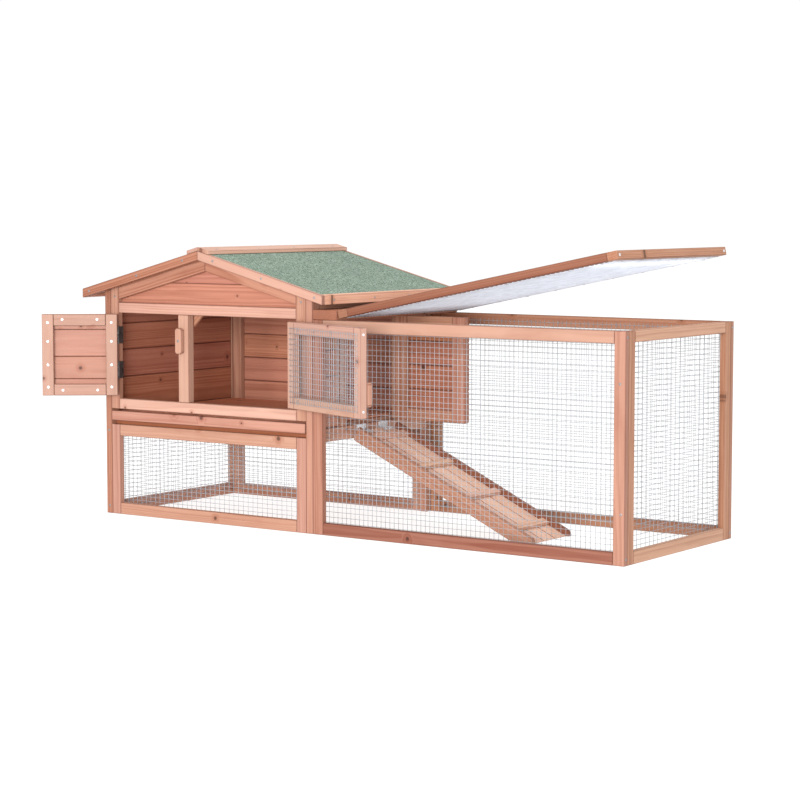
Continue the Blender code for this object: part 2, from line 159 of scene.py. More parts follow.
class Graph:
    """A material's node tree, with short calls for the nodes used here."""

    def __init__(self, name):
        self.material = bpy.data.materials.new(name)
        self.material.use_nodes = True
        self.tree = self.material.node_tree
        self.tree.nodes.clear()
        self.shader = self.add("ShaderNodeBsdfPrincipled")
        output = self.add("ShaderNodeOutputMaterial")
        self.tree.links.new(self.shader.outputs[0], output.inputs[0])

    def add(self, kind, inputs=None, **settings):
        node = self.tree.nodes.new(kind)
        for key, value in settings.items():
            setattr(node, key, value)
        for key, value in (inputs or {}).items():
            self.set(node, key, value)
        return node

    def set(self, node, key, value):
        if isinstance(value, bpy.types.NodeSocket):
            self.tree.links.new(value, node.inputs[key])
        else:
            node.inputs[key].default_value = value

    def math(self, operation, a, b=0.0, c=0.0, clamp=False):
        node = self.add("ShaderNodeMath", {0: a, 1: b, 2: c}, operation=operation, use_clamp=clamp)
        return node.outputs[0]

    def vector(self, operation, a, b):
        return self.add("ShaderNodeVectorMath", {0: a, 1: b}, operation=operation).outputs[0]

    def mix(self, factor, a, b):
        return self.add("ShaderNodeMix", {0: factor, 6: a, 7: b}, data_type="RGBA").outputs[2]

    def noise(self, vector, scale, detail=2.0, roughness=0.5):
        values = {"Vector": vector, "Scale": scale, "Detail": detail, "Roughness": roughness}
        return self.add("ShaderNodeTexNoise", values).outputs

    def voronoi(self, vector, scale, dimensions="3D"):
        values = {"Vector": vector, "Scale": scale}
        return self.add("ShaderNodeTexVoronoi", values, voronoi_dimensions=dimensions).outputs

    def steps(self, value, low, high, out_low=0.0, out_high=1.0):
        """value from low to high, eased, as out_low to out_high."""
        node = self.add(
            "ShaderNodeMapRange", {0: value, 1: low, 2: high, 3: out_low, 4: out_high},
            interpolation_type="SMOOTHSTEP",
        )
        return node.outputs[0]

    def attribute(self, name):
        return self.add("ShaderNodeAttribute", attribute_name=name).outputs

    def bump(self, height, strength, distance):
        values = {"Strength": strength, "Distance": distance, "Height": height}
        return self.add("ShaderNodeBump", values).outputs[0]

    def finish(self, colour, roughness, normal, metallic=0.0, specular=0.5):
        self.set(self.shader, "Base Color", colour)
        self.set(self.shader, "Roughness", roughness)
        self.set(self.shader, "Normal", normal)
        self.shader.inputs["Metallic"].default_value = metallic
        self.shader.inputs["Specular IOR Level"].default_value = specular
        return self.material


def rgb(red, green, blue):
    return (red, green, blue, 1.0)


def fir(name, early, late, pale, knot, stain_and_seam_shade, arris, knotless):
    """Stained fir: growth rings round a pith, fine fibres, knots, end grain, and arrises darkened partly
    by stain and partly by painted seam shade.

    The last colour darkens the arrises, partly as stain pooled in them and partly as painted shade
    of the seams between timbers; it also darkens end grain. arris is how much of it the arrises take,
    and knotless the share of clear wood. The grain attribute runs along the timber, across it and
    into it, from the pith; spot is the middle of a large knot; tone holds how pale, how bright and
    how yellow the timber is.
    """
    knot_grid, large_knot, rings_per_metre = 8.5, 0.0046, 250.0
    g = Graph(name)
    grain = g.attribute("grain")["Vector"]
    tone = g.add("ShaderNodeSeparateXYZ", {0: g.attribute("tone")["Vector"]}).outputs
    wander = g.noise(g.vector("MULTIPLY", grain, (2.2, 9.0, 9.0)), 1.0, 2.0)["Color"]
    shift = g.vector("MULTIPLY", g.vector("SUBTRACT", wander, (0.5, 0.5, 0.5)), (0.0, 0.009, 0.009))
    bent = g.add("ShaderNodeSeparateXYZ", {0: g.vector("ADD", grain, shift)}).outputs

    flat = g.add("ShaderNodeCombineXYZ", {0: bent[0], 1: bent[1]}).outputs[0]
    cells = g.voronoi(flat, knot_grid, "2D")
    off_knot = g.math("DIVIDE", cells["Distance"], knot_grid)
    chosen = g.add("ShaderNodeSeparateColor", {0: cells["Color"]}).outputs
    is_clear = g.math("LESS_THAN", chosen[0], knotless)
    size = g.math("MULTIPLY_ADD", chosen[1], 0.0030, 0.0025)
    near = g.math("MULTIPLY_ADD", is_clear, 99.0, g.math("DIVIDE", off_knot, size))
    from_spot = g.vector("SUBTRACT", flat, g.attribute("spot")["Vector"])
    spot = g.add("ShaderNodeVectorMath", {0: from_spot}, operation="LENGTH").outputs["Value"]
    near = g.math("MINIMUM", near, g.math("DIVIDE", spot, large_knot))
    knot_mask = g.steps(near, 0.75, 1.25, 1.0, 0.0)
    knot_halo = g.steps(near, 1.0, 4.0, 1.0, 0.0)

    squares = g.math("POWER", bent[1], 2.0), g.math("POWER", bent[2], 2.0)
    radius = g.math("SQRT", g.math("ADD", *squares))
    radius = g.math("MULTIPLY_ADD", knot_halo, 0.0050, radius)
    spread = g.noise(g.add("ShaderNodeCombineXYZ", {0: radius}).outputs[0], 55.0, 1.0)[0]
    uneven = g.math("MULTIPLY", spread, 4.0)
    rings = g.math("FRACT", g.math("MULTIPLY_ADD", radius, rings_per_metre, uneven))
    rise = g.steps(rings, 0.25, 0.88)
    fall = g.steps(rings, 0.90, 1.0, 1.0, 0.0)
    ring = g.math("MULTIPLY", rise, fall)

    fibre = g.noise(g.vector("MULTIPLY", grain, (9.0, 620.0, 620.0)), 1.0, 3.0, 0.65)[0]
    streak = g.noise(g.vector("MULTIPLY", grain, (1.6, 90.0, 90.0)), 1.0, 3.0, 0.6)[0]
    blotch = g.noise(g.vector("MULTIPLY", grain, (5.0, 22.0, 22.0)), 1.0, 3.0, 0.6)[0]

    depth = g.math("MULTIPLY", ring, 0.48)
    depth = g.math("MULTIPLY_ADD", g.steps(streak, 0.38, 0.72), 0.34, depth)
    depth = g.math("MULTIPLY_ADD", g.steps(fibre, 0.42, 0.70), 0.26, depth, clamp=True)
    colour = g.mix(depth, early, late)
    colour = g.mix(g.math("MULTIPLY", tone[0], g.steps(blotch, 0.2, 0.8, 0.70, 1.1)), colour, pale)
    colour = g.mix(g.steps(blotch, 0.50, 0.80, 0.0, 0.38), colour, late)
    colour = g.mix(g.math("MULTIPLY", knot_halo, 0.45), colour, late)
    core = g.noise(grain, 900.0, 2.0)[0]
    colour = g.mix(g.math("MULTIPLY", knot_mask, g.steps(core, 0.2, 0.8, 0.70, 1.0)), colour, knot)

    # Arrises, and faces turned to a given side, take the last colour: stain pooled in the arrises, and
    # painted shade of the seams and of that shaded face.
    arris_stain_and_shade = g.math("MULTIPLY", g.attribute("edge")["Fac"], g.steps(streak, 0.3, 0.7, *arris))
    colour = g.mix(arris_stain_and_shade, colour, stain_and_seam_shade)
    colour = g.mix(g.math("MULTIPLY", g.attribute("end")["Fac"], 0.45), colour, stain_and_seam_shade)
    rich = g.math("MAXIMUM", g.math("MULTIPLY_ADD", tone[1], -0.40, 1.45), 0.92)
    values = {
        "Hue": g.math("MULTIPLY_ADD", tone[2], 0.007, 0.5),
        "Saturation": g.math("MULTIPLY_ADD", tone[2], 0.05, rich), "Value": tone[1], "Color": colour,
    }
    colour = g.add("ShaderNodeHueSaturation", values).outputs[0]

    height = g.math("MULTIPLY_ADD", ring, 0.5, g.math("MULTIPLY", fibre, 0.8))
    height = g.math("MULTIPLY_ADD", knot_mask, -0.4, height)
    rough = g.steps(fibre, 0.3, 0.8, 0.50, 0.68)
    return g.finish(colour, rough, g.bump(height, 0.40, 0.0004), specular=0.35)


def galvanised(name, bright, dull, roughness, metallic, scale):
    """Zinc: mottled spangle with soft, patchy shine."""
    g = Graph(name)
    place = g.add("ShaderNodeTexCoord").outputs["Object"]
    spangle = g.voronoi(place, scale)["Color"]
    patch = g.add("ShaderNodeSeparateColor", {0: spangle}).outputs[0]
    cloud = g.noise(place, scale * 0.3, 3.0)[0]
    mixed = g.math("MULTIPLY_ADD", patch, 0.5, g.math("MULTIPLY", cloud, 0.5))
    colour = g.mix(mixed, dull, bright)
    rough = g.steps(cloud, 0.3, 0.7, roughness - 0.08, roughness + 0.10)
    normal = g.bump(g.noise(place, scale * 4.0, 2.0)[0], 0.15, 0.0002)
    return g.finish(colour, rough, normal, metallic)


def mineral_felt(name):
    """Green slate granules on bitumen: pale and dark grains, with worn patches."""
    g = Graph(name)
    place = g.add("ShaderNodeTexCoord").outputs["Object"]
    grains = g.voronoi(place, 620.0)
    pick = g.add("ShaderNodeSeparateColor", {0: grains["Color"]}).outputs
    colour = g.mix(pick[0], rgb(0.058, 0.093, 0.065), rgb(0.200, 0.270, 0.207))
    colour = g.mix(g.math("GREATER_THAN", pick[1], 0.90), colour, rgb(0.42, 0.47, 0.43))
    colour = g.mix(g.math("GREATER_THAN", pick[2], 0.93), colour, rgb(0.030, 0.045, 0.035))
    clump = g.noise(place, 150.0, 3.0, 0.6)[0]
    colour = g.mix(g.steps(clump, 0.45, 0.62, 0.0, 0.70), colour, rgb(0.290, 0.370, 0.300))
    patch = g.noise(place, 9.0, 3.0)[0]
    colour = g.mix(g.steps(patch, 0.45, 0.75, 0.0, 0.25), colour, rgb(0.090, 0.135, 0.102))
    height = g.math("MULTIPLY_ADD", clump, 0.6, g.math("SUBTRACT", 1.0, grains["Distance"]))
    return g.finish(colour, 0.93, g.bump(height, 0.8, 0.0008), specular=0.2)


# Each fir's fifth colour darkens its arrises: partly stain pooled there, partly painted shade of the seams
# between timbers.
TIMBER = fir(
    "stained_fir", rgb(0.385, 0.192, 0.130), rgb(0.225, 0.076, 0.040),
    rgb(0.405, 0.262, 0.200), rgb(0.060, 0.024, 0.014), rgb(0.115, 0.034, 0.018), (0.30, 0.66), 0.60,
)
BOARDS = fir(
    "stained_fir_boards", rgb(0.365, 0.150, 0.088), rgb(0.225, 0.070, 0.034),
    rgb(0.375, 0.198, 0.140), rgb(0.055, 0.020, 0.012), rgb(0.130, 0.038, 0.020), (0.50, 0.80), 0.42,
)
DECK = fir(
    "worn_fir", rgb(0.520, 0.300, 0.205), rgb(0.370, 0.150, 0.090),
    rgb(0.540, 0.370, 0.285), rgb(0.110, 0.048, 0.030), rgb(0.170, 0.052, 0.030), (0.70, 0.92), 0.70,
)
WIRE = galvanised("galvanised_wire", rgb(0.34, 0.35, 0.38), rgb(0.26, 0.27, 0.29), 0.40, 0.35, 90.0)
# The lid's wire is a pale, bluish copy of the wire colour: painted light and reflection, for how the mesh
# looks lit against white.
LID_WIRE = galvanised("bright_wire", rgb(0.80, 0.84, 0.92), rgb(0.56, 0.59, 0.66), 0.40, 0.60, 60.0)
ZINC = galvanised("zinc_plate", rgb(0.84, 0.85, 0.88), rgb(0.52, 0.53, 0.56), 0.34, 0.35, 300.0)
GREY_ZINC = galvanised("dull_zinc", rgb(0.40, 0.40, 0.41), rgb(0.20, 0.20, 0.21), 0.36, 0.70, 400.0)
STEEL = galvanised("dark_steel", rgb(0.17, 0.16, 0.16), rgb(0.035, 0.034, 0.034), 0.34, 0.75, 160.0)
FELT = mineral_felt("mineral_felt")


# ---------------------------------------------------------------- mesh helpers

def placed(plane, across, up, out):
    """A point of the plane "xz", "yz" or "xy", and its distance along the axis left over."""
    return Vector({"xz": (across, out, up), "yz": (out, across, up), "xy": (across, up, out)}[plane])


def rectangle(left, right, bottom, top):
    return [(left, bottom), (right, bottom), (right, top), (left, top)]


def face_of(node, plane):
    return rectangle(*extents(node, plane)[:4])


def clipped(outline, low, high):
    """The part of a convex outline between two heights."""
    for limit, keep in ((low, 1.0), (high, -1.0)):
        kept = []
        for index, point in enumerate(outline):
            last = outline[index - 1]
            inside, was_inside = keep * (point[1] - limit) >= 0, keep * (last[1] - limit) >= 0
            if inside != was_inside:
                share = (limit - last[1]) / (point[1] - last[1])
                kept.append(tuple(last[i] + (point[i] - last[i]) * share for i in range(2)))
            if inside:
                kept.append(point)
        outline = kept
    return outline


def link(name, bm, material, body, stands_for=(), smooth=False):
    """Makes the piece from a mesh in house coordinates, puts it in place and lets it ride."""
    bmesh.ops.recalc_face_normals(bm, faces=bm.faces[:])
    mesh = bpy.data.meshes.new(name)
    bm.to_mesh(mesh)
    bm.free()
    mesh.transform(PLACE.get(body, AT_REST) @ Matrix.Translation(ORIGIN))
    mesh.materials.append(material)
    mesh.shade_smooth() if smooth else mesh.shade_flat()
    piece = bpy.data.objects.new(name, mesh)
    bpy.context.scene.collection.objects.link(piece)
    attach(piece, body)
    if stands_for:
        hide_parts(*stands_for)
    return piece


def write_attribute(mesh, name, kind, domain, values):
    attribute = mesh.attributes.new(name, kind, domain)
    field = "vector" if kind == "FLOAT_VECTOR" else "value"
    attribute.data.foreach_set(field, values)


def timber(name, plane, outline, along, node, depth=None, material=TIMBER, tone=(0.3, 1.0),
           rounding=ROUND, spot=NO_KNOT, painted_shade_side=None):
    """One length of wood: an outline with depth, its arrises rounded, its grain along a direction.

    It lies as deep in the plane as its CAD node does, unless depth is given. spot is a large knot's
    place along and across from the middle, and the last argument the side whose faces are painted dark, as
    shade, with the arrises' colour.
    """
    low, high = depth or extents(node, plane)[4:]
    rng = random.Random(name)
    bm = bmesh.new()
    face = bm.faces.new([bm.verts.new(placed(plane, a, b, low)) for a, b in outline])
    raised = bmesh.ops.extrude_face_region(bm, geom=[face])["geom"]
    lift = placed(plane, 0.0, 0.0, high - low)
    bmesh.ops.translate(bm, verts=[v for v in raised if isinstance(v, bmesh.types.BMVert)], vec=lift)
    bmesh.ops.recalc_face_normals(bm, faces=bm.faces[:])
    flats = [(face.normal.copy(), face.calc_center_median()) for face in bm.faces]
    bmesh.ops.bevel(bm, geom=bm.edges[:], offset=rounding, segments=2, profile=0.5,
                    affect="EDGES", clamp_overlap=True)
    along = along.normalized()
    into = placed(plane, 0.0, 0.0, 1.0)
    if abs(into.dot(along)) > 0.9:
        into = placed(plane, 0.0, 1.0, 0.0)
    across = into.cross(along)
    offset = [rng.uniform(0.0, 40.0), rng.uniform(-0.035, 0.035)]
    offset.append(rng.choice((-1, 1)) * rng.uniform(0.03, 0.09))
    middle = sum((point for _, point in flats), Vector()) / len(flats)
    grain = []
    for vertex in bm.verts:
        away = vertex.co - middle
        grain += [away.dot(along) + offset[0], away.dot(across) + offset[1], away.dot(into) + offset[2]]
    edge, end = [], []
    for face in bm.faces:
        flat = any(face.normal.dot(n) > 0.9999 for n, _ in flats)
        # A face turned to that side is counted with the arrises, so that it is painted dark, as shade.
        dark = painted_shade_side and face.normal.dot(painted_shade_side) > 0.5
        edge.append(0.0 if flat and not dark else 1.0)
        end.append(1.0 if abs(face.normal.dot(along)) > 0.95 else 0.0)
    count = len(bm.verts)
    piece = link(name, bm, material, body_of(node), (node,))
    pale, value, warm = (*tone, 0.0)[:3]
    shade = (max(0.0, pale + rng.uniform(-0.10, 0.10)), value * rng.uniform(0.96, 1.04),
             warm + rng.uniform(-0.7, 0.7))
    write_attribute(piece.data, "grain", "FLOAT_VECTOR", "POINT", grain)
    centre = (spot[0] + offset[0], spot[1] + offset[1], 0.0)
    write_attribute(piece.data, "spot", "FLOAT_VECTOR", "POINT", centre * count)
    write_attribute(piece.data, "tone", "FLOAT_VECTOR", "POINT", shade * count)
    write_attribute(piece.data, "edge", "FLOAT", "FACE", edge)
    write_attribute(piece.data, "end", "FLOAT", "FACE", end)


def bar(name, plane, left, right, bottom, top, node, **looks):
    """A square-cut timber, with its grain along its longer side."""
    across, up, _ = PLANE_AXES[plane]
    along = across if right - left >= top - bottom else up
    timber(name, plane, rectangle(left, right, bottom, top), along, node, **looks)


def whole_bar(name, plane, node, **looks):
    """A square-cut timber as large as its CAD node."""
    bar(name, plane, *extents(node, plane)[:4], node, **looks)


def boards(name, plane, outline, cuts, node, spots=None, **looks):
    """Grooved boards that fill a convex outline, parted at heights; spots gives their knots."""
    first = min(point[1] for point in outline)
    last = max(point[1] for point in outline)
    lines = [first, *(cut for cut in cuts if first < cut < last), last]
    looks = {"material": BOARDS, "rounding": BOARD_ROUND, **looks}
    for index, (start, stop) in enumerate(zip(lines, lines[1:]), 1):
        strip = clipped(outline, start + SEAM, stop - SEAM)
        looks["spot"] = (spots or {}).get(index, NO_KNOT)
        timber(f"{name}_{index}", plane, strip, PLANE_AXES[plane][0], node, **looks)


def panel(name, plane, outer, inner, node, stiles=("left", "right"), rails=("bottom", "top"),
          tones=None, spots=None, painted_shade_side=None, **looks):
    """A frame of two stiles that run through and two rails between them.

    tones, spots and the side painted dark as shade are by bar: first stile, second stile, first rail,
    second rail.
    """
    left, right, bottom, top = outer
    in_left, in_right, in_bottom, in_top = inner
    bars = (
        (f"{stiles[0]}_stile", left, in_left - SEAM, bottom, top),
        (f"{stiles[1]}_stile", in_right + SEAM, right, bottom, top),
        (f"{rails[0]}_rail", in_left + SEAM, in_right - SEAM, bottom, in_bottom),
        (f"{rails[1]}_rail", in_left + SEAM, in_right - SEAM, in_top, top),
    )
    for index, (part, *limits) in enumerate(bars):
        if tones:
            looks["tone"] = tones[index]
        looks["spot"] = (spots or {}).get(index, NO_KNOT)
        looks["painted_shade_side"] = (painted_shade_side or {}).get(index)
        bar(f"{name}_{part}", plane, *limits, node, **looks)


def skin(bm, rings):
    """Faces from each closed ring of vertices to the next."""
    for near, far in zip(rings, rings[1:]):
        for step in range(len(near)):
            bm.faces.new((near[step - 1], near[step], far[step], far[step - 1]))


def tube(bm, path, radius, sides=6):
    """A wire along a path of points."""
    rings = []
    for index, point in enumerate(path):
        ahead = (path[min(index + 1, len(path) - 1)] - path[max(index - 1, 0)]).normalized()
        beside = ahead.cross(Z if abs(ahead.z) < 0.9 else X).normalized()
        over = ahead.cross(beside)
        ring = []
        for step in range(sides):
            angle = 2 * math.pi * (step + 0.5) / sides
            ring.append(bm.verts.new(point + radius * (math.cos(angle) * beside + math.sin(angle) * over)))
        rings.append(ring)
    skin(bm, rings)
    bm.faces.new(rings[0])
    bm.faces.new(rings[-1][::-1])


def wire_sheet(name, plane, limits, near, out, node, pitch=PITCH, metal=WIRE, spacing=0.085):
    """Welded wire: uprights against the frame, cross wires lying on them, and staples over its edges.

    limits are left, right, bottom and top, near is the frame's face, and out is +1 or -1, the side
    the sheet lies on. spacing is between staples.
    """
    left, right, bottom, top = limits
    rng = random.Random(name)
    bm = bmesh.new()
    for wires, (start, stop), (first, last), level in (
        (0, (bottom, top), (left, right), 1.0), (1, (left, right), (bottom, top), 2.8),
    ):
        count = int((last - first) / pitch[wires])
        begin = first + ((last - first) - count * pitch[wires]) / 2
        for index in range(count + 1):
            place = begin + index * pitch[wires]
            bow = rng.uniform(-0.0004, 0.0004)
            path = []
            for step in range(7):
                along = start + (stop - start) * step / 6
                beside = place + bow * math.sin(math.pi * step / 6) + rng.uniform(-0.00005, 0.00005)
                a, b = (beside, along) if wires == 0 else (along, beside)
                path.append(placed(plane, a, b, near + out * WIRE_RADIUS * level))
            tube(bm, path, WIRE_RADIUS)
    link(name, bm, metal, body_of(node), (node,), smooth=True)
    half_long, slip, staple_radius = 0.005, 0.0012, 0.00045
    bm = bmesh.new()
    for across, up, upright in staple_row(left, right, bottom, top, spacing):
        half = placed(plane, 0.0, half_long, 0.0) if upright else placed(plane, half_long, 0.0, 0.0)
        tilt = placed(plane, slip, 0.0, 0.0) if upright else placed(plane, 0.0, slip, 0.0)
        tilt *= rng.uniform(-1.0, 1.0)
        crown = placed(plane, across, up, near + out * WIRE_RADIUS * 4.4)
        root = placed(plane, 0.0, 0.0, -out * WIRE_RADIUS * 5.0)
        ends = crown - half - tilt, crown + half + tilt
        tube(bm, [ends[0] + root, ends[0], ends[1], ends[1] + root], staple_radius, 4)
    link(f"{name}_staples", bm, WIRE, body_of(node))


def staple_row(left, right, bottom, top, spacing):
    """Staples round a sheet's edge: across, up, and whether each spans upright."""
    inset = 0.006
    found = []
    across = max(2, round((right - left) / spacing))
    up = max(2, round((top - bottom) / spacing))
    for index in range(across):
        place = left + (right - left) * (index + 0.5) / across
        found += [(place, bottom + inset, True), (place, top - inset, True)]
    for index in range(up):
        place = bottom + (top - bottom) * (index + 0.5) / up
        found += [(left + inset, place, False), (right - inset, place, False)]
    return found


def add_screw(bm, centre, normal, radius, turn):
    """A pan head with a cross recess, its middle at centre on the timber's face."""
    proud = 0.0009
    normal = normal.normalized()
    beside = normal.cross(Z if abs(normal.z) < 0.9 else X).normalized()
    over = normal.cross(beside)
    sides = 16

    def point(reach, angle, height):
        spoke = math.cos(angle + turn) * beside + math.sin(angle + turn) * over
        return bm.verts.new(centre + reach * spoke + height * normal)

    rings = []
    for reach, height in ((radius, -0.0006), (radius, proud * 0.35), (radius * 0.88, proud * 0.8)):
        rings.append([point(reach, 2 * math.pi * step / sides, height) for step in range(sides)])
    skin(bm, rings)
    slot_reach, slot_half = radius * 0.58, radius * 0.14
    corner, tip = math.hypot(slot_reach, slot_half), math.atan2(slot_half, slot_reach)
    cross_top, cross_floor = [], []
    for arm in range(4):
        middle = arm * math.pi / 2
        for reach, angle in ((corner, middle - tip), (corner, middle + tip),
                             (slot_half * math.sqrt(2), middle + math.pi / 4)):
            cross_top.append(point(reach, angle, proud))
            cross_floor.append(point(reach * 0.85, angle, -proud * 0.4))
    top_edges = [bm.edges.get((rings[-1][i - 1], rings[-1][i])) for i in range(sides)]
    cross_edges = [bm.edges.new((cross_top[i - 1], cross_top[i])) for i in range(12)]
    bmesh.ops.triangle_fill(bm, edges=top_edges + cross_edges, use_beauty=True, use_dissolve=False,
                            normal=normal)
    skin(bm, (cross_top, cross_floor))
    bm.faces.new(cross_floor)
    bm.faces.new(rings[0])


def screws(name, points, normal, body, radius=0.0038, metal=GREY_ZINC):
    """Screws in one plane of one body, as one piece."""
    rng = random.Random(name)
    bm = bmesh.new()
    for point in points:
        add_screw(bm, Vector(point), normal, radius, rng.uniform(0.0, math.pi / 2))
    link(name, bm, metal, body)


def roof_line(x, drop=0.0):
    """Height of the felt's top at x, less drop."""
    return ROOF_TOP - ROOF_SLOPE * abs(x - RIDGE_X) - drop


def sloped(start, end, high, low):
    """Outline of a piece along the roof's slope, between two depths under the felt's top."""
    return [(start, roof_line(start, high)), (end, roof_line(end, high)), (end, roof_line(end, low)),
            (start, roof_line(start, low))]


def wall_top(x):
    return roof_line(x, FELT_DROP + ROOF_BOARD_DROP + 2 * GAP)


def gable_outline(node):
    left, right, bottom = extents(node, "xz")[:3]
    return [(left, bottom), (right, bottom), (right, wall_top(right)), (RIDGE_X, wall_top(RIDGE_X)),
            (left, wall_top(left))]


def board_lines(first, last):
    """Heights of the joints between the wall boards, counted from the one over the floor."""
    return [BOARD_LINE + BOARD_PITCH * step for step in range(first, last)]


def gable_frame(name, opening, node):
    """Two stiles cut to the roof, a header, and the raked trims that meet under the ridge."""
    left, right, bottom = extents(node, "xz")[:3]
    inner_left, inner_right = opening
    drop = BARGE_DROP + RAKE_WIDE
    for side, outer, inner in (("left", left, inner_left - SEAM), ("right", right, inner_right + SEAM)):
        outline = [(outer, bottom), (inner, bottom), (inner, wall_top(inner)), (outer, wall_top(outer))]
        timber(f"{name}_{side}_stile", "xz", outline, Z, node, tone=(0.35, 1.0))
        sign = -1 if side == "left" else 1
        start = inner_left + SEAM if side == "left" else inner_right - SEAM
        ridge = RIDGE_X + sign * SEAM
        rake = [(start, roof_line(start, drop)), (ridge, roof_line(ridge, drop)), (ridge, wall_top(ridge)),
                (start, wall_top(start))]
        along = Vector((1.0, 0.0, -sign * ROOF_SLOPE))
        timber(f"{name}_{side}_rake", "xz", rake, along, node, tone=(0.0, 1.00))
    bar(f"{name}_header", "xz", inner_left + SEAM, inner_right - SEAM, HEADER[0], HEADER[1] - GAP, node,
        tone=(0.50, 1.11, 0.0))


# ---------------------------------------------------------------- house

def house_front():
    node = "lower_front_frame"
    *outer, _, face = extents(node, "xz")
    inner = (*FRONT_OPENING, STOCK, outer[3] - STOCK)
    panel("lower_front", "xz", outer, inner, node, tone=(0.42, 0.97, -0.4), spots={2: (0.030, 0.0)})
    wire_sheet("lower_front_wire", "xz", LOW_SHEET, face, 1, "lower_front_mesh", LOW_PITCH)
    node = "upper_front_frame"
    gable_frame("upper_front", FRONT_OPENING, node)
    left, right = FRONT_OPENING
    low, _ = house_box(node)
    bar("upper_front_sill", "xz", left + GAP, right - GAP, low.z, 0.305, node, tone=(0.50, 1.24, -0.4))
    node = "front_gable_boards"
    boards("gable_board", "xz", gable_outline(node), (0.611,), node, tone=(0.15, 1.08, -0.8))
    whole_bar("centre_post", "xz", "door_post", tone=(0.60, 1.02, -0.7))
    _, post = house_box("door_post")
    side, under = post.x + GAP, HEADER[0] - GAP
    brace = [(side, under), (side, 0.498), (0.317, under)]
    timber("post_brace", "xz", brace, X + Z, "door_post", (0.0215, 0.0275), tone=(0.2, 0.95))


def house_left():
    node = "left_side_frame"
    _, high = house_box(node)
    rear = high.y - STOCK
    bar("left_front_corner", "yz", 0.0, STOCK - SEAM, 0.0, high.z, node, tone=(0.15, 0.86, -1.0))
    bar("left_rear_corner", "yz", rear + SEAM, high.y, 0.0, high.z, node)
    for name, bottom, top in (("bottom", 0.0, STOCK), ("under_floor", 0.207, 0.2375),
                              ("over_floor", 0.2378, 0.270), ("top", 0.545, high.z)):
        bar(f"left_{name}_rail", "yz", STOCK + SEAM, rear - SEAM, bottom, top, node)
    node = "left_wall_boards"
    boards("left_wall_board", "yz", face_of(node, "yz"), (0.358, 0.430, 0.499), node,
           tone=(0.0, 1.08, -0.8))
    wire_sheet("left_lower_wire", "yz", LEFT_LOW_SHEET, high.x, 1, "left_lower_mesh", LOW_PITCH)


def house_back():
    node = "house_back_frame"
    gable_frame("back", BACK_OPENING, node)
    left, right = BACK_OPENING
    rails = ("bottom", 0.0, STOCK), ("under_floor", 0.207, 0.2345), ("floor", 0.2348, 0.262)
    for name, bottom, top in rails:
        bar(f"back_{name}_rail", "xz", left + GAP, right - GAP, bottom, top, node, tone=(0.2, 0.85))
    low, _ = house_box(node)
    wall = "back_wall_boards"
    boards("back_wall_board", "xz", gable_outline(wall), board_lines(-1, 6), wall, tone=(0.1, 1.22, -0.2))
    wire_sheet("lower_back_wire", "xz", LOW_SHEET, low.y, -1, "lower_back_mesh", LOW_PITCH)


def divider():
    node = "divider_frame"
    _, high = house_box(node)
    near_door, far_door, rear = 0.141, 0.364, 0.4975
    sill_low, sill_high = 0.2235, 0.2575
    opening_top = HEADER[0]
    bar("divider_front_post", "yz", 0.0, STOCK - SEAM, 0.0, high.z, node, tone=(0.35, 1.0))
    bar("divider_rear_post", "yz", rear + SEAM, high.y, 0.0, high.z, node)
    inner = STOCK + SEAM, rear - SEAM
    bar("divider_sill", "yz", *inner, sill_low, sill_high - SEAM, node, tone=(0.2, 1.20, 0.4))
    bar("divider_top_rail", "yz", *inner, opening_top + SEAM, high.z, node)
    for name, start in (("front", near_door - STOCK), ("rear", far_door)):
        bar(f"divider_{name}_jamb", "yz", start, start + STOCK, sill_high + SEAM, opening_top - SEAM, node)
    for name in ("front", "rear"):
        wall = f"divider_{name}_boards"
        boards(f"divider_{name}_board", "yz", face_of(wall, "yz"), board_lines(0, 5), wall,
               tone=(0.3, 1.30, 0.4))


def runners():
    for side in ("left", "right"):
        whole_bar(f"{side}_runner", "xy", f"{side}_tray_runner")
    whole_bar("bearer", "xz", "tray_bearer", material=BOARDS, tone=(0.0, 0.80))


# ---------------------------------------------------------------- run

def run():
    for side, out in (("front", 1), ("back", -1)):
        node, sheet = f"run_{side}_frame", f"run_{side}_mesh"
        *outer, near, far = extents(node, "xz")
        left, right, _, high = outer
        inner = (left + STOCK, right - STOCK, STOCK, high - 0.029)
        stiles, top, foot = (0.20, 0.96, 0.4), (0.20, 0.80), (0.30, 0.82)
        if out > 0:
            stiles, top, foot = (0.25, 0.86, -0.5), (0.68, 0.91, -0.8), (0.0, 0.60, -1.6)
        panel(f"run_{side}", "xz", outer, inner, node, tones=(stiles, stiles, foot, top),
              spots={2: (-0.155, 0.002)})
        face = far if out > 0 else near
        wire_sheet(f"run_{side}_wire", "xz", extents(sheet, "xz")[:4], face, out, sheet)
    node, sheet = "run_end_frame", "run_end_mesh"
    *outer, near, _ = extents(node, "yz")
    left, right, _, high = outer
    inner = (left + 0.028, right - 0.028, STOCK, high - 0.027)
    tones = (0.2, 1.10, 1.2), (0.1, 1.12, 1.2), (0.2, 1.28, 1.8), (0.3, 1.36, 1.8)
    # The rear stile's face towards the front is painted dark, as shade.
    panel("run_end", "yz", outer, inner, node, stiles=("front", "rear"), tones=tones,
          spots={1: (0.085, 0.014)}, painted_shade_side={1: -Y})
    wire_sheet("run_end_wire", "yz", extents(sheet, "yz")[:4], near, -1, sheet, END_PITCH)
    whole_bar("hinge_board", "xy", "lid_hinge_board", material=BOARDS, tone=(0.5, 1.0))


# ---------------------------------------------------------------- roof

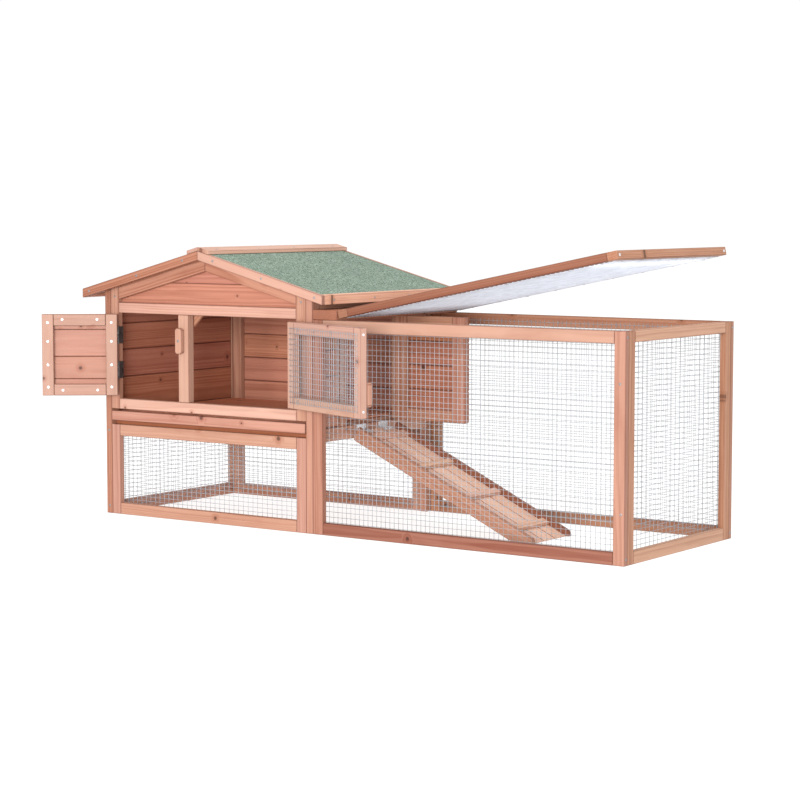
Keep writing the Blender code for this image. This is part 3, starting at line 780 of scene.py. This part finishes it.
def felt_sheet(side, sign):
    """Mineral felt: a gently uneven sheet whose face stands up in grains."""
    low, high = house_box(f"{side}_roof_felt")
    rng = random.Random(f"{side}_felt")
    ridge, eave = (low.x, high.x) if sign > 0 else (high.x, low.x)
    steps_x, steps_y = 120, 170
    bm = bmesh.new()
    layers = []
    for drop, grit in ((0.0004, 0.0004), (FELT_DROP - 0.0001, 0.0)):
        rows = []
        for i in range(steps_x + 1):
            x = ridge + (eave - ridge) * i / steps_x
            row = []
            for j in range(steps_y + 1):
                y = low.y + (high.y - low.y) * j / steps_y
                inside = 0 < i < steps_x and 0 < j < steps_y
                lift = rng.uniform(-grit, grit) if inside else -grit
                row.append(bm.verts.new((x, y, roof_line(x, drop - lift))))
            rows.append(row)
        layers.append(rows)
    for rows, flip in ((layers[0], sign > 0), (layers[1], sign < 0)):
        for i in range(steps_x):
            for j in range(steps_y):
                quad = [rows[i][j], rows[i + 1][j], rows[i + 1][j + 1], rows[i][j + 1]]
                bm.faces.new(quad if flip else quad[::-1])
    top, bottom = layers
    rim = (
        [(0, j) for j in range(steps_y)] + [(i, steps_y) for i in range(steps_x)]
        + [(steps_x, j) for j in range(steps_y, 0, -1)] + [(i, 0) for i in range(steps_x, 0, -1)]
    )
    for (i, j), (k, m) in zip(rim, rim[1:] + rim[:1]):
        bm.faces.new((top[i][j], top[k][m], bottom[k][m], bottom[i][j]))
    link(f"{side}_felt", bm, FELT, "hutch", stands_for=(f"{side}_roof_felt",), smooth=True)


def roof():
    for side, sign in SIDES:
        felt_sheet(side, sign)
        slope = Vector((1.0, 0.0, -sign * ROOF_SLOPE))
        ridge, eave = RIDGE_X + sign * SEAM, RIDGE_X + sign * EAVE_REACH
        board_drop = FELT_DROP + GAP
        end = eave - sign * (FASCIA_THICK + GAP)
        for index in range(5):
            start, stop = (ridge + (end - ridge) * share / 5 for share in (index, index + 1))
            start, stop = start + sign * SEAM, stop - sign * SEAM
            outline = sloped(start, stop, board_drop, board_drop + ROOF_BOARD_DROP)
            timber(f"{side}_roof_board_{index + 1}", "xz", outline, Y, f"{side}_roof_boards",
                   material=BOARDS, rounding=0.0018)
        start = eave - sign * FASCIA_THICK
        # The eaves boards' tone is brightened well past the other timber: painted light on a face that the
        # lamps light less.
        timber(f"{side}_eaves_board", "xz", sloped(start, eave, 0.0, BARGE_DROP), Y, f"{side}_fascia",
               tone=(0.1, 1.80, 0.8))
        for end_name in ("front", "back"):
            timber(f"{end_name}_{side}_barge", "xz", sloped(ridge, eave, 0.0, BARGE_DROP), slope,
                   f"{end_name}_{side}_barge_board",
                   tone=(0.0, 0.82) if side == "left" else (0.60, 1.02, -0.6))
    for side, sign in SIDES:
        ridge, edge = RIDGE_X + sign * SEAM, RIDGE_X + sign * RIDGE_CAP_REACH
        outline = sloped(ridge, edge, -GAP, -GAP - RIDGE_CAP_THICK)
        timber(f"ridge_{side}_cap", "xz", outline, Y, "ridge_cap", tone=(0.55, 1.34))


# ---------------------------------------------------------------- doors

def add_plate(bm, start, end, along, near, far, out, level, thick):
    """A flat plate: from start to end along the pin, from near to far across it, its back at level."""
    low, high = out * level, out * (level + thick)
    corners = [start + along * near, start + along * far, end + along * far, end + along * near]
    back = [bm.verts.new(corner + low) for corner in corners]
    front = [bm.verts.new(corner + high) for corner in corners]
    bm.faces.new(back[::-1])
    bm.faces.new(front)
    skin(bm, (back, front))


def butt_hinge(name, up, long, fixed, moving, node=None, metal=ZINC, radius=0.0028, leaf=0.019):
    """Two leaves with screws, five knuckles and their pin.

    up is the pin's direction. Each leaf gives its body, the pin's first end, the way the leaf runs
    from the pin, the way its screws face, and the level of its back over the pin's middle.
    """
    plate, knuckles = 0.0009, 5
    web = 0.0026
    for part, (body, first, along, out, level), places, stands in (
        ("fixed", fixed, (0, 2, 4), (node,) if node else ()), ("moving", moving, (1, 3), ()),
    ):
        bm = bmesh.new()
        for index in places:
            near = first + up * (long * index / knuckles + 0.0002)
            far = first + up * (long * (index + 1) / knuckles - 0.0002)
            tube(bm, [near, near + up * 0.0003, far - up * 0.0003, far], radius, 14)
            raised = level > radius
            add_plate(bm, near, far, along, web if raised else 0.0014, leaf * 0.30, out, level, plate)
            if raised:
                add_plate(bm, near, far, along, web, web + plate, out, 0.0, level)
        near, far = first + up * 0.0003, first + up * (long - 0.0003)
        add_plate(bm, near, far, along, max(leaf * 0.24, radius + 0.0006), leaf, out, level, plate)
        for share in (0.22, 0.78):
            middle = first + up * (long * share) + along * (leaf * 0.62)
            add_screw(bm, middle + out * (level + plate), out, 0.0030, 0.5)
        link(f"{name}_{part}_leaf", bm, metal, body, stands)
    bm = bmesh.new()
    first = fixed[1]
    tube(bm, [first - up * 0.0006, first + up * (long + 0.0006)], radius * 0.55, 10)
    link(f"{name}_pin", bm, metal, "hutch")


def framed_door(name, plane, outer, stile, depth, **looks):
    left, right, bottom, top = outer
    inner = (left + stile, right - stile, bottom + STOCK, top - STOCK)
    panel(name, plane, outer, inner, f"{name}_frame", depth=depth, **looks)


def shrunk(left, right, bottom, top, inset=0.0005):
    return rectangle(left + inset, right - inset, bottom + inset, top - inset)


def sheet_in(left, right, bottom, top):
    """Limits of the wire sheet stapled over a frame."""
    return left + FRAME_INSET, right - FRAME_INSET, bottom + FRAME_INSET, top - FRAME_INSET


def solid_door():
    outer = left, right, bottom, top = 0.0505, 0.2455, 0.3155, 0.5275
    inner, face = 0.0083, 0.0233
    framed_door("solid_door", "xz", outer, STOCK, (inner, face), tone=(0.75, 0.83, -0.8))
    boards("solid_door_board", "xz", shrunk(*outer), (0.3585, 0.4170, 0.4870), "solid_door_boards",
           depth=(0.0, inner - GAP), tone=(0.90, 0.92, -0.5), rounding=0.0016, spots={2: (0.0, 0.0)})
    points = [(x, face, z) for x in (left + 0.015, right - 0.015)
              for z in (bottom + 0.022, bottom + 0.080, bottom + 0.141, top - 0.022)]
    points += [(x, face, z) for x in (left + 0.052, right - 0.053) for z in (bottom + 0.014, top - 0.014)]
    screws("solid_door_screws", points, Y, "solid_door", 0.0034, ZINC)


def mesh_door():
    outer = left, _, bottom, top = 0.2865, 0.6295, 0.3110, 0.5245
    thick = 0.0180
    framed_door("mesh_door", "xz", outer, STOCK, (0.0, thick), tone=(0.75, 0.99, -0.7))
    wire_sheet("mesh_door_mesh", "xz", sheet_in(*outer), thick, 1, "mesh_door_wire", DOOR_PITCH,
               spacing=0.075)
    points = [(left, thick / 2, z) for z in (bottom + 0.016, top - 0.016)]
    screws("mesh_door_screws", points, -X, "mesh_door", 0.0032, ZINC)


def side_door():
    low, middle, high = 0.6645, 0.6765, 0.6838
    outer, stile = (0.1425, 0.362, 0.2595, 0.5275), 0.040
    framed_door("side_door", "yz", outer, stile, (low, middle), tone=(0.1, 1.0))
    boards("side_door_board", "yz", shrunk(*outer), (0.340, 0.402, 0.464), "side_door_boards",
           depth=(middle + GAP, high), tone=(0.05, 1.0))


def turn_button(name, node, thick):
    """A block with clipped ends and the screw that it turns on; its body has its node's name."""
    joint = JOINTS[f"{node}_turn"]
    out = Vector(joint["axis"])
    low, high = house_box(node)
    half_long = (high.z - low.z) / 2
    half_wide, clip = 0.0105, 0.005
    wide, long = half_wide - clip, half_long - clip
    outline = [(-half_wide, -long), (-wide, -half_long), (wide, -half_long), (half_wide, -long),
               (half_wide, long), (wide, half_long), (-wide, half_long), (-half_wide, long)]
    centre = Vector(joint["pos_m"])
    turn = Matrix.Rotation(math.atan2(out.x, -out.y), 4, "Z")
    PLACE[node] = Matrix.Translation(centre) @ turn @ Matrix.Translation(-ORIGIN)
    timber(name, "xz", outline, Z, node, (-thick, 0.0), tone=(0.50, 0.98, -0.8), rounding=0.0016)
    bm = bmesh.new()
    add_screw(bm, Vector((0.0, -thick, 0.0)), -Y, 0.0036, 0.7)
    link(f"{name}_screw", bm, GREY_ZINC, node)


def hinges():
    for door, x, side in (("solid_door", 0.0495, 1.0), ("mesh_door", 0.6305, -1.0)):
        for place in ("upper", "lower"):
            node = f"{door}_{place}_hinge"
            low, high = house_box(node)
            first = Vector((x, -PIN_OUT, low.z))
            butt_hinge(node, Z, high.z - low.z, ("hutch", first, Y, -X * side, 0.0003),
                       (door, first, Y, X * side, 0.0003), node, STEEL)
    for place in ("front", "rear"):
        node = f"ramp_{place}_hinge"
        low, high = house_box(node)
        butt_hinge(node, Y, high.y - low.y, ("hutch", RAMP_PIN + Y * low.y, Z, X, -0.0028),
                   ("ramp", Y * low.y, X, Z, 0.0073), node)
    long = 0.040
    for place, y in (("front", 0.085), ("rear", 0.405)):
        first = LID_PIN + Y * y
        butt_hinge(f"lid_{place}_hinge", Y, long, ("hutch", first, -X, Z, -0.0019),
                   ("lid", first, X, Z, -0.0027), radius=0.0020)
    for place, z in (("lower", 0.300), ("upper", 0.450)):
        first = SIDE_DOOR_PIN + Z * z
        butt_hinge(f"side_door_{place}_hinge", Z, long, ("hutch", first, Y, X, -0.0037),
                   ("side_door", first, -Y, X, -0.0027))


def visible_screws():
    """Screw heads that hold the panels, the trim and the lid together."""
    for end, y, out in (("front", 0.0, -Y), ("back", DEPTH, Y)):
        faces = [(0.0345, y, 0.572), (0.6475, y, 0.572), (1.546, y, 0.411), (1.550, y, 0.117)]
        if end == "front":
            faces += [(0.010, y, 0.220), (0.010, y, 0.020)]
        else:
            faces = faces[2:]
        screws(f"{end}_face_screws", faces, out, "hutch", 0.0030)
        points = [(x, y + out.y * ROOF_OVERHANG, roof_line(x, BARGE_DROP / 2))
                  for reach in (0.050, 0.205, 0.370) for x in (RIDGE_X - reach, RIDGE_X + reach)]
        screws(f"{end}_barge_screws", points, out, "hutch", 0.0032)
    _, far = house_box("run_end_frame")
    ends = [(far.x, y, z) for y in (0.0075, DEPTH - 0.0075) for z in (0.015, 0.515)]
    screws("run_end_screws", ends, X, "hutch", 0.0030)
    left, right, near, back = LID_OUTER
    middle, top = sum(LID_LEVELS) / 2, LID_LEVELS[1]
    ends = [(right, y, middle) for y in (near + 0.011, back - 0.011)]
    screws("lid_end_screws", ends, X, "lid", 0.0034, ZINC)
    corners = [(x, y, top) for x in (left + 0.014, right - 0.014) for y in (near + 0.014, back - 0.014)]
    screws("lid_corner_screws", corners, Z, "lid", 0.0032)
    for side, sign in SIDES:
        eave, cap = RIDGE_X + sign * EAVE_REACH, RIDGE_X + sign * 0.022
        rows = [0.020, 0.190, 0.340, 0.510]
        level = roof_line(eave, BARGE_DROP / 2)
        screws(f"{side}_fascia_screws", [(eave, y, level) for y in rows], X * sign, "hutch", 0.0028)
        slant = Vector((sign * ROOF_SLOPE, 0.0, 1.0)).normalized()
        level = roof_line(cap, -GAP - RIDGE_CAP_THICK)
        screws(f"{side}_ridge_screws", [(cap, y, level) for y in rows], slant, "hutch", 0.0030)


# ---------------------------------------------------------------- lid, ramp and tray

def lid():
    left, right, near, far = LID_OUTER
    rail = 0.028
    panel("lid", "xy", LID_OUTER, (left + rail, right - rail, near + rail, far - rail), "lid_frame",
          depth=LID_LEVELS, stiles=("hinge", "far"), rails=("front", "back"),
          tones=((0.2, 0.95), (0.05, 1.16, 0.8), (0.0, 0.55, -0.8), (0.2, 0.95)))
    # The lid's wire uses the pale copy of the wire colour, painted light.
    wire_sheet("lid_wire", "xy", sheet_in(*LID_OUTER), LID_LEVELS[0], -1, "lid_mesh", metal=LID_WIRE)


def ramp():
    turn = Matrix.Rotation(RAMP_SLOPE, 4, "Y")
    PLACE["ramp"] = Matrix.Translation(ORIGIN + RAMP_PIN) @ turn @ Matrix.Translation(-ORIGIN)
    front, back, thick = 0.160, 0.339, 0.012
    rail_low, rail_high, deck_low, deck_high = -0.0149, 0.0211, -0.0030, 0.0070
    start, end = 0.010, 0.586

    def foot(height):
        """Length down the slope at which a line of this height off the pin meets the ground."""
        return (RAMP_PIN.z + height * math.cos(RAMP_SLOPE)) / math.sin(RAMP_SLOPE)

    toe = (end * math.sin(RAMP_SLOPE) - RAMP_PIN.z) / math.cos(RAMP_SLOPE)
    rail = [(start, rail_low), (foot(rail_low), rail_low), (end, toe), (end, toe + 0.003),
            (end - 0.010, rail_high), (start, rail_high)]
    timber("ramp_front_side", "xz", rail, X, "ramp_front_rail", (front, front + thick),
           tone=(0.10, 0.92, 0.3))
    # The rear side's tone is darkened: painted shade for its inner face, in the corner over the deck.
    timber("ramp_rear_side", "xz", rail, X, "ramp_rear_rail", (back - thick, back),
           tone=(0.0, 0.60, -1.0))
    near, far = front + thick + GAP, back - thick - GAP
    deck_start = 0.003
    deck = [(deck_start, deck_low), (foot(deck_low), deck_low), (foot(deck_high) - 0.001, deck_high),
            (deck_start, deck_high)]
    for index in range(3):
        begin, stop = (near + (far - near) * share / 3 for share in (index, index + 1))
        timber(f"ramp_deck_board_{index + 1}", "xz", deck, X, "ramp_deck",
               (begin + SEAM, stop - SEAM), material=DECK, tone=(0.40, 1.34, 0.4), rounding=0.0020)
    base = deck_high + GAP
    step_first, step_pitch, step_wide, step_high = 0.038, 0.1545, 0.022, 0.008
    for index in range(4):
        first = step_first + index * step_pitch
        outline = rectangle(first, first + step_wide, base, base + step_high)
        timber(f"ramp_step_{index + 1}", "xz", outline, Y, f"ramp_cleat_{index + 1}", (near, far),
               tone=(0.45, 1.55, 0.8))


def tray():
    whole_bar("tray_board", "xz", "tray_front", tone=(0.25, 1.00, -0.2))
    node = "tray_pan"
    low, high = house_box(node)
    cuts = [low.y + (high.y - low.y) * share / 4 for share in (1, 2, 3)]
    # The floor boards' tone is far brighter than any wood: painted light, standing in for light falling
    # into the house onto the tray floor.
    boards("tray_floor_board", "xy", face_of(node, "xy"), cuts, node, tone=(0.2, 2.30, 0.4),
           rounding=0.0012)


# ---------------------------------------------------------------- stage

def floor_material():
    """Matt white paper, with a little light of its own, so that it meets the backdrop evenly."""
    g = Graph("studio_floor")
    place = g.add("ShaderNodeTexCoord").outputs["Object"]
    cloud = g.noise(place, 1.5, 2.0)[0]
    colour = g.mix(cloud, rgb(0.28, 0.28, 0.28), rgb(0.31, 0.31, 0.31))
    g.shader.inputs["Emission Color"].default_value = rgb(1.0, 1.0, 1.0)
    g.shader.inputs["Emission Strength"].default_value = 0.82
    return g.finish(colour, 0.9, g.bump(g.noise(place, 40.0, 2.0)[0], 0.02, 0.0005), specular=0.0)


def area_light(name, place, aim, size, power, colour):
    data = bpy.data.lights.new(name, "AREA")
    data.shape = "RECTANGLE"
    data.size, data.size_y = size
    data.energy = power
    data.color = colour
    lamp = bpy.data.objects.new(name, data)
    lamp.location = place
    lamp.rotation_euler = (Vector(aim) - Vector(place)).to_track_quat("-Z", "Y").to_euler()
    bpy.context.scene.collection.objects.link(lamp)


def studio():
    bm = bmesh.new()
    reach = 14.0
    ring = [bm.verts.new((reach * math.cos(a), reach * math.sin(a), 0.0))
            for a in (2 * math.pi * i / 64 for i in range(64))]
    bm.faces.new(ring)
    mesh = bpy.data.meshes.new("floor")
    bm.to_mesh(mesh)
    bm.free()
    mesh.materials.append(floor_material())
    floor = bpy.data.objects.new("floor", mesh)
    floor.location = (0.0, 0.0, -0.0005)
    bpy.context.scene.collection.objects.link(floor)
    world = bpy.data.worlds.new("studio_air")
    bpy.context.scene.world = world
    world.use_nodes = True
    background = world.node_tree.nodes["Background"]
    background.inputs[0].default_value = rgb(1.0, 1.0, 1.0)
    background.inputs[1].default_value = 1.02
    area_light("key", (2.1, -5.6, 0.95), (-0.1, 0.0, 0.35), (2.6, 1.6), 430.0, (1.0, 0.985, 0.965))
    area_light("top", (0.2, -0.4, 3.2), (0.0, 0.0, 0.3), (2.6, 2.0), 38.0, (1.0, 1.0, 1.0))


def camera():
    data = bpy.data.cameras.new("camera")
    data.sensor_width = 36.0
    data.lens = 101.155
    view = bpy.data.objects.new("camera", data)
    view.location = ORIGIN + Vector((4.01863, -4.38090, 0.81105))
    view.rotation_euler = (math.radians(90.0 - 4.970), 0.0, math.radians(35.053))
    bpy.context.scene.collection.objects.link(view)
    bpy.context.scene.camera = view


house_front()
house_left()
house_back()
divider()
runners()
run()
roof()
solid_door()
mesh_door()
side_door()
turn_button("post_turn_button", "post_button", 0.012)
turn_button("door_turn_button", "mesh_door_button", 0.015)
lid()
ramp()
tray()
hinges()
visible_screws()
studio()
camera()
bpy.context.scene.view_settings.view_transform = "Standard"
